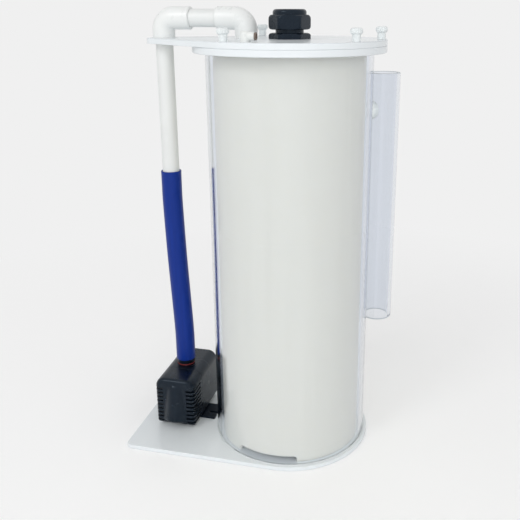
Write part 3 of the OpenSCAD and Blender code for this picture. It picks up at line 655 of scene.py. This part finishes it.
class FILTER_OT_base_and_lid(bpy.types.Operator):
    """Builds the base plate and finishes the flange ring and the lid"""

    bl_idname = "filter.base_and_lid"
    bl_label = "Base, flange and lid"

    def execute(self, context):
        sizes, colours = context.scene.filter_sizes, context.scene.filter_colours
        # Cast opal acrylic, sawn and polished: a cool white with a soft gloss and a little depth
        opal = solid_finish(
            "opal_acrylic_sawn", colours.opal, 0.035, 60, 0.22, 0.05, grain_mm=1.4, grain_depth_mm=0.004,
            edge_mm=0.5, shader={"IOR": 1.49},
        )
        low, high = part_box("base_plate")
        half, left, corner = high.y, low.x, 6 * MM
        outline = [(half * math.cos(a), half * math.sin(a)) for a in (math.pi * (k / 64 - 0.5) for k in range(65))]
        for y, start in ((half - corner, 1), (corner - half, 2)):
            outline += [
                (left + corner + corner * math.cos(a), y + corner * math.sin(a)) for a in quarter(12, start)
            ]
        bm = bmesh.new()
        slab(bm, outline, low.z, high.z, sizes.polish)
        base = place("base_plate_polished", finished_mesh("base_plate_polished", bm, 20), "base_plate", opal)
        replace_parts(base, "base_plate")
        paint(opal, "flange_ring", "lid")
        # Solvent cement left round the foot of the chamber: glassy and a little grey
        cement = solid_finish(
            "acrylic_cement_bead", linear("#dfe4e6"), 0.12, 5, 0.12, 0.05, grain_mm=1.0, grain_depth_mm=0.02,
            edge_mm=0.1, shader={"IOR": 1.49},
        )
        foot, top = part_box("chamber_tube")
        radius, width = top.x, sizes.bead
        bm = bmesh.new()
        arc = [
            (radius + width * (1 - math.sin(a)), foot.z + width * (1 - math.cos(a))) for a in quarter(6)
        ]
        spin(bm, [(radius, foot.z)] + arc, 192)
        place("chamber_weld_bead", finished_mesh("chamber_weld_bead", bm, 40), "chamber_tube", cement)
        return {"FINISHED"}


class FILTER_OT_clear_tubes(bpy.types.Operator):
    """Builds the clear chamber tube and the clear side tube, with the port between them"""

    bl_idname = "filter.clear_tubes"
    bl_label = "Clear tubes"

    def execute(self, context):
        sizes, colours = context.scene.filter_sizes, context.scene.filter_colours
        # Extruded clear acrylic: sharp reflections, a faint cold tint and very faint lines along the tube
        acrylic = clear_finish("clear_acrylic_extruded", colours.clear, 4.0, 0.0006, 0.01)
        # The side tube's open ends are saw cut and only scraped, so they are frosty and a little grey
        sawn = solid_finish(
            "clear_acrylic_sawn_end", linear("#ccd3da"), 0.1, 6, 0.35, 0.06, grain_mm=0.7, grain_depth_mm=0.01,
            edge_mm=0.1, shader={"IOR": 1.49},
        )
        aim = Vector((math.cos(sizes.side_angle), math.sin(sizes.side_angle), 0))
        bush_low, bush_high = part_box("port_bush")
        port = Vector((0, 0, (bush_low.z + bush_high.z) / 2))
        # Each tube's wall, where the cutter of its opening starts and ends along the port, and if its ends are open
        for node, wall, (near, far), open_ends in (
            ("chamber_tube", sizes.chamber_wall, (60 * MM, 82 * MM), False),
            ("side_tube", sizes.side_wall, (70 * MM, 88 * MM), True),
        ):
            low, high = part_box(node)
            centre = ((low.x + high.x) / 2, (low.y + high.y) / 2)
            outer = (high.x - low.x) / 2
            bm = bmesh.new()
            spin(bm, tube_loop(outer, outer - wall, low.z, high.z, sizes.polish, 24), sizes.tube_steps, centre)
            mesh = finished_mesh(node + "_clear", bm)
            mesh = cut(mesh, [bar(sizes.port_radius, port + aim * near, port + aim * far)])
            round_off(mesh, centre)
            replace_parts(place(node + "_clear", mesh, node, acrylic), node)
            if open_ends:
                mesh.materials.append(sawn)
                for face in mesh.polygons:
                    face.material_index = 1 if abs(face.normal.z) > 0.5 else 0
        # The bush is cemented in with no air left round it, so the walls run into it and it shows as a milky white
        paint(bpy.data.materials["opal_acrylic_sawn"], "port_bush")
        return {"FINISHED"}


class FILTER_OT_inner_tube(bpy.types.Operator):
    """Builds the ivory inner tube with its outflow notches"""

    bl_idname = "filter.inner_tube"
    bl_label = "Inner tube"

    def execute(self, context):
        sizes, colours = context.scene.filter_sizes, context.scene.filter_colours
        # Extruded PVC: an even satin with faint draw lines along the tube
        ivory = solid_finish(
            "ivory_pvc_extruded", colours.ivory, 0.025, 12, 0.42, 0.05, (1, 1, 0.03), 1.6, 0.006, 0.3,
            {
                "IOR": 1.53, "Specular IOR Level": 0.4, "Subsurface Weight": 0.5, "Subsurface Radius": (1, 0.97, 0.9),
                "Subsurface Scale": 6 * MM,
            },
        )
        low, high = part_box("inner_tube")
        outer = high.x
        bm = bmesh.new()
        spin(bm, tube_loop(outer, outer - sizes.inner_wall, low.z, high.z, 0.3 * MM, 24), sizes.tube_steps)
        mesh = finished_mesh("inner_tube_ivory", bm)
        cutters = []
        height, corner, below, steps = sizes.notch_height, sizes.notch_height / 2, -5 * MM, 40
        half, bend = sizes.notch_arc / 2, corner / outer
        near, far = outer - 3 * sizes.inner_wall, outer + 3 * sizes.inner_wall
        # The notch flattened out, as (angle, height) points: up one side, over its rounded top and down the other
        edge = [(-half, below)]
        edge += [(bend * (1 - math.cos(a)) - half, height - corner + corner * math.sin(a)) for a in quarter(8)]
        edge += [(bend - half + 2 * (half - bend) * i / steps, height) for i in range(1, steps)]
        edge += [(half - bend * (1 - math.sin(a)), height - corner + corner * math.cos(a)) for a in quarter(8)]
        edge += [(half - 2 * half * i / steps, below) for i in range(steps)]
        for k in range(sizes.notch_count):
            turn = sizes.notch_turn + 2 * math.pi * k / sizes.notch_count
            bm = bmesh.new()
            rings = [
                [bm.verts.new((r * math.cos(turn + a), r * math.sin(turn + a), low.z + z)) for a, z in edge]
                for r in (near, far)
            ]
            for i in range(len(edge)):
                j = (i + 1) % len(edge)
                bm.faces.new((rings[0][i], rings[0][j], rings[1][j], rings[1][i]))
            for ring in rings:
                bmesh.ops.triangulate(bm, faces=[bm.faces.new(ring)])
            bmesh.ops.recalc_face_normals(bm, faces=bm.faces)
            cutter = bpy.data.meshes.new("notch")
            bm.to_mesh(cutter)
            bm.free()
            cutters.append(cutter)
        mesh = cut(mesh, cutters)
        round_off(mesh, (0, 0))
        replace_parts(place("inner_tube_ivory", mesh, "inner_tube", ivory), "inner_tube")
        return {"FINISHED"}


class FILTER_OT_pipe_run(bpy.types.Operator):
    """Finishes the elbows and the rigid pipes"""

    bl_idname = "filter.pipe_run"
    bl_label = "Pipe run"

    def execute(self, context):
        colours = context.scene.filter_colours
        # Injection moulded PVC: white with a soft gloss and a trace of flow clouds
        moulded = solid_finish(
            "white_pvc_moulded", colours.pipe, 0.03, 14, 0.3, 0.05, grain_mm=0.8, grain_depth_mm=0.006, edge_mm=0.5,
            shader={"IOR": 1.53},
        )
        # Extruded PVC: the same white, a little duller, with draw lines
        drawn = solid_finish(
            "white_pvc_extruded", darker(colours.pipe, 0.04), 0.04, 6, 0.36, 0.05, (0.2, 1, 0.2), 1.2, 0.006, 0.3,
            {"IOR": 1.53},
        )
        paint(moulded, "elbow_riser", "elbow_inlet")
        paint(drawn, "bridge_pipe", "inlet_pipe", "riser_pipe")
        return {"FINISHED"}


class FILTER_OT_hose(bpy.types.Operator):
    """Builds the blue hose between the pump and the riser pipe"""

    bl_idname = "filter.hose"
    bl_label = "Hose"

    def execute(self, context):
        sizes, colours = context.scene.filter_sizes, context.scene.filter_colours
        # Soft extruded PVC: a deep waxy blue with a broad highlight and faint lines along it
        soft = solid_finish(
            "blue_pvc_soft_extruded", colours.hose, 0.16, 3, 0.38, 0.06, (1, 1, 0.05), 0.9, 0.012, 0.4,
            {"IOR": 1.53, "Specular IOR Level": 0.2},
        )
        path = smooth_route(HOSE_ROUTE, 3)
        end = path[-1]
        # Closer points near the upper end, where the rim is rounded
        fine = path[:-1] + [end - Vector((0, 0, d * MM)) for d in (4, 3, 2, 1.2, 0.8, 0.5, 0.25, 0.1, 0)]
        bm = bmesh.new()
        sweep(bm, fine, sizes.hose_radius, sizes.hose_bore, 64, 0.15 * MM)
        hose = place("hose_soft", finished_mesh("hose_soft", bm, 50), "hose", soft)
        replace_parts(hose, "hose")
        return {"FINISHED"}


class FILTER_OT_lid_fittings(bpy.types.Operator):
    """Finishes the gland, the thumb screws and the vent"""

    bl_idname = "filter.lid_fittings"
    bl_label = "Lid fittings"

    def execute(self, context):
        colours = context.scene.filter_colours
        # Glass filled nylon: near black, satin, with a fine spark eroded grain
        nylon = solid_finish(
            "black_nylon_moulded", colours.gland, 0.12, 8, 0.26, 0.05, grain_mm=0.45, grain_depth_mm=0.008,
            edge_mm=0.7, shader={"IOR": 1.53, "Specular IOR Level": 0.3, "Specular Tint": linear("#ddefff")},
        )
        paint(nylon, "gland_locknut", "gland_plug")
        (wide, tall), radius = GLAND_DOME_MIDDLE, GLAND_DOME_RADIUS
        dome = [(wide + radius * math.cos(a), tall + radius * math.sin(a)) for a in quarter(6)]
        for node, loop in (("gland_body", GLAND_BODY), ("gland_cap", GLAND_CAP_OUTSIDE + dome + GLAND_CAP_INSIDE)):
            bm = bmesh.new()
            spin(bm, [(r * MM, z * MM) for r, z in loop], 180, across_flats=GLAND_FLATS * MM, turn=GLAND_TURN)
            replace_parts(place(node + "_moulded", finished_mesh(node + "_moulded", bm, 22), node, nylon), node)
        # Unfilled nylon: milky, light enters it and softens its flutes
        milky = solid_finish(
            "milky_nylon_moulded", colours.screw, 0.05, 4, 0.28, 0.05, grain_mm=0.5, grain_depth_mm=0.006,
            edge_mm=0.35, shader={
                "IOR": 1.53, "Subsurface Weight": 0.3, "Subsurface Radius": (1, 1, 1), "Subsurface Scale": 1.2 * MM,
            },
        )
        paint(milky, "thumb_screw_1", "thumb_screw_2", "thumb_screw_3", "thumb_screw_4")
        # Moulded acetal: a dense white with small soft highlights
        acetal = solid_finish(
            "white_acetal_moulded", colours.vent, 0.04, 4, 0.3, 0.05, grain_mm=0.4, grain_depth_mm=0.005,
            edge_mm=0.4, shader={"IOR": 1.48},
        )
        paint(acetal, "vent_body", "impeller")
        # The same plastic dyed brown, with a duller satin
        brown = solid_finish(
            "brown_acetal_moulded", colours.collet, 0.1, 3, 0.42, 0.05, grain_mm=0.3, grain_depth_mm=0.006,
            edge_mm=0.2, shader={"IOR": 1.48},
        )
        paint(brown, "vent_collet")
        return {"FINISHED"}


class FILTER_OT_pump(bpy.types.Operator):
    """Finishes the pump with its foot, outlet, rings and inner parts"""

    bl_idname = "filter.pump"
    bl_label = "Pump"

    def execute(self, context):
        colours = context.scene.filter_colours
        # Moulded ABS with a fine eroded grain: blue black, satin, its edges catch the light
        shell = solid_finish(
            "black_abs_eroded_grain", colours.pump, 0.12, 10, 0.3, 0.05, grain_mm=0.5, grain_depth_mm=0.012,
            edge_mm=0.8, shader={"IOR": 1.54, "Specular IOR Level": 0.3, "Specular Tint": linear("#ddefff")},
        )
        paint(shell, "pump_foot", "volute", "motor_housing", "outlet_barb")
        sections = [(STRAINER_BACK, 0), (STRAINER_FRONT + SHOULDER + SHOULDER_RUN, 0)] + [
            (STRAINER_FRONT + SHOULDER * (1 - math.sin(a)), SHOULDER * (1 - math.cos(a))) for a in quarter(6)
        ]
        bm = bmesh.new()
        pump_shell(bm, sections, nose_rise)
        cover = finished_mesh("strainer_cover_moulded", bm, 35)
        hollow = bmesh.new()
        room = [
            (STRAINER_BACK + HOLLOW_PAST_BACK, STRAINER_WALL), (STRAINER_FRONT + STRAINER_SKIN, STRAINER_WALL),
        ]
        pump_shell(hollow, room, lambda x, z: 0.0)
        slots = bmesh.new()
        front, back = STRAINER_FRONT - NOSE_OUT - SLOT_PAST_NOSE, STRAINER_BACK - SLOT_SHORT_OF_BACK
        for i in range(SLOT_COUNT):
            low = PUMP_FOOT + SLOT_LOW + i * SLOT_PITCH
            for side in (-1, 1):
                inner, outer = PUMP_X + side * SLOT_IN, PUMP_X + side * (PUMP_WIDE / 2 + SLOT_PAST_SIDE)
                for v in bmesh.ops.create_cube(slots, size=1.0)["verts"]:
                    x, y, z = (c > 0 for c in v.co)
                    v.co = Vector((outer if x else inner, back if y else front, low + SLOT_TALL if z else low)) * MM
        cover = cut(cut(cover, [finished_mesh("strainer_hollow", hollow)]), [finished_mesh("slots", slots)])
        cover = creased(cover, 35)
        low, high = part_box("strainer_cover")
        if any(not low.x - MM < v.co.x < high.x + MM or v.co.y < low.y - MM for v in cover.vertices):
            raise RuntimeError("the strainer's slots left something behind")
        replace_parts(place("strainer_cover_moulded", cover, "strainer_cover", shell), "strainer_cover")
        # Moulded nitrile rubber: flat black with hardly any highlight
        rubber = solid_finish(
            "nitrile_rubber_moulded", colours.rubber, 0.2, 5, 0.55, 0.06, grain_mm=0.4, grain_depth_mm=0.015,
            edge_mm=0.3, shader={"IOR": 1.52},
        )
        paint(rubber, "lid_seal", "shaft_bushes", "volute_seal", "cable_inlet", "gland_seal")
        # Moulded silicone: a warm red ring with a soft, slightly greasy sheen
        red = solid_finish(
            "red_silicone_moulded", colours.red, 0.15, 3, 0.4, 0.05, grain_mm=0.4, grain_depth_mm=0.01,
            edge_mm=0.2, shader={"IOR": 1.43},
        )
        paint(red, "outlet_seal")
        # Enamelled copper wire under potting resin: brown with a metallic gleam in bands one wire wide
        paint(solid_finish(
            "copper_winding_potted", linear("#8a4f2c"), 0.35, 1.2, 0.35, 0.08, (0.05, 1, 1), 0.6, 0.08, 0.3,
            {"Metallic": 0.6},
        ), "stator")
        # Sintered ferrite: charcoal grey, dull and a little rough
        paint(solid_finish(
            "ferrite_sintered", linear("#3a3a3d"), 0.2, 2, 0.5, 0.06, grain_mm=0.3, grain_depth_mm=0.02, edge_mm=0.3,
        ), "rotor_magnet")
        # Centreless ground alumina: ivory, with a hard, bright highlight
        paint(solid_finish(
            "alumina_ground", linear("#e8e2d4"), 0.05, 1, 0.25, 0.05, (1, 0.1, 1), 0.2, 0.003, 0.1, {"IOR": 1.76},
        ), "pump_shaft")
        return {"FINISHED"}


class FILTER_OT_media(bpy.types.Operator):
    """Builds the foam pads and finishes the medium and its perforated plates"""

    bl_idname = "filter.media"
    bl_label = "Media"

    def execute(self, context):
        sizes, colours = context.scene.filter_sizes, context.scene.filter_colours
        # Reticulated polyurethane foam: open pores of their real size, matt
        foam = cell_finish("polyurethane_foam_open", colours.foam, sizes.foam_pore / MM, 0.5, 0.9, 0.55)
        for node in ("lower_foam", "upper_foam"):
            low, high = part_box(node)
            radius, soft, waist = high.x, 1.6 * MM, 0.35 * MM
            bm = bmesh.new()
            inner, belly = radius - soft, (low.z + high.z) / 2
            loop = [(0.0, low.z), (radius * 0.5, low.z), (radius - 2 * soft, low.z)]
            loop += [(inner + soft * math.sin(a), low.z + soft * (1 - math.cos(a))) for a in quarter(4)]
            loop += [(radius - waist, belly)]
            loop += [(inner + soft * math.cos(a), high.z - soft * (1 - math.sin(a))) for a in quarter(4)]
            loop += [(radius - 2 * soft, high.z), (radius * 0.5, high.z), (0.0, high.z)]
            spin(bm, loop, 128)
            pad = place(node + "_pad", finished_mesh(node + "_pad", bm, 60), node, foam)
            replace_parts(pad, node)
        # Crushed ceramic medium: granules of 3 to 4 mm, each a little lighter or darker than the next
        paint(cell_finish("ceramic_granules", colours.media, 3.6, 1.2, 0.85, 0.5), "media_bed")
        # Moulded polypropylene: a light grey with a waxy satin
        plastic = solid_finish(
            "grey_polypropylene_moulded", colours.grey, 0.06, 9, 0.4, 0.05, grain_mm=0.6, grain_depth_mm=0.008,
            edge_mm=0.3, shader={"IOR": 1.49},
        )
        paint(plastic, "media_grate", "media_cover_plate")
        return {"FINISHED"}


class FILTER_PT_panel(bpy.types.Panel):
    """Lists the filter's pieces, sizes and colours"""

    bl_label = "Column filter"
    bl_idname = "FILTER_PT_panel"
    bl_space_type = "VIEW_3D"
    bl_region_type = "UI"
    bl_category = "Filter"

    def draw(self, context):
        for operator in OPERATORS:
            self.layout.operator(operator.bl_idname)
        for title, group in (
            ("Sizes", context.scene.filter_sizes),
            ("Colours", context.scene.filter_colours),
            ("Stage", context.scene.filter_stage),
        ):
            column = self.layout.box().column()
            column.label(text=title)
            for key in group.__annotations__:
                column.prop(group, key)


OPERATORS = (
    FILTER_OT_stage, FILTER_OT_base_and_lid, FILTER_OT_clear_tubes, FILTER_OT_inner_tube, FILTER_OT_pipe_run,
    FILTER_OT_hose, FILTER_OT_lid_fittings, FILTER_OT_pump, FILTER_OT_media,
)
GROUPS = {"filter_sizes": ColumnSizes, "filter_colours": FinishColours, "filter_stage": StageSettings}


def register():
    for item in (*GROUPS.values(), *OPERATORS, FILTER_PT_panel):
        bpy.utils.register_class(item)
    for name, group in GROUPS.items():
        setattr(bpy.types.Scene, name, bpy.props.PointerProperty(type=group))


def unregister():
    for name in GROUPS:
        delattr(bpy.types.Scene, name)
    for item in reversed((*GROUPS.values(), *OPERATORS, FILTER_PT_panel)):
        bpy.utils.unregister_class(item)


def main():
    register()
    for operator in OPERATORS:
        getattr(bpy.ops.filter, operator.bl_idname.split(".")[1])()


if __name__ == "__main__":
    main()
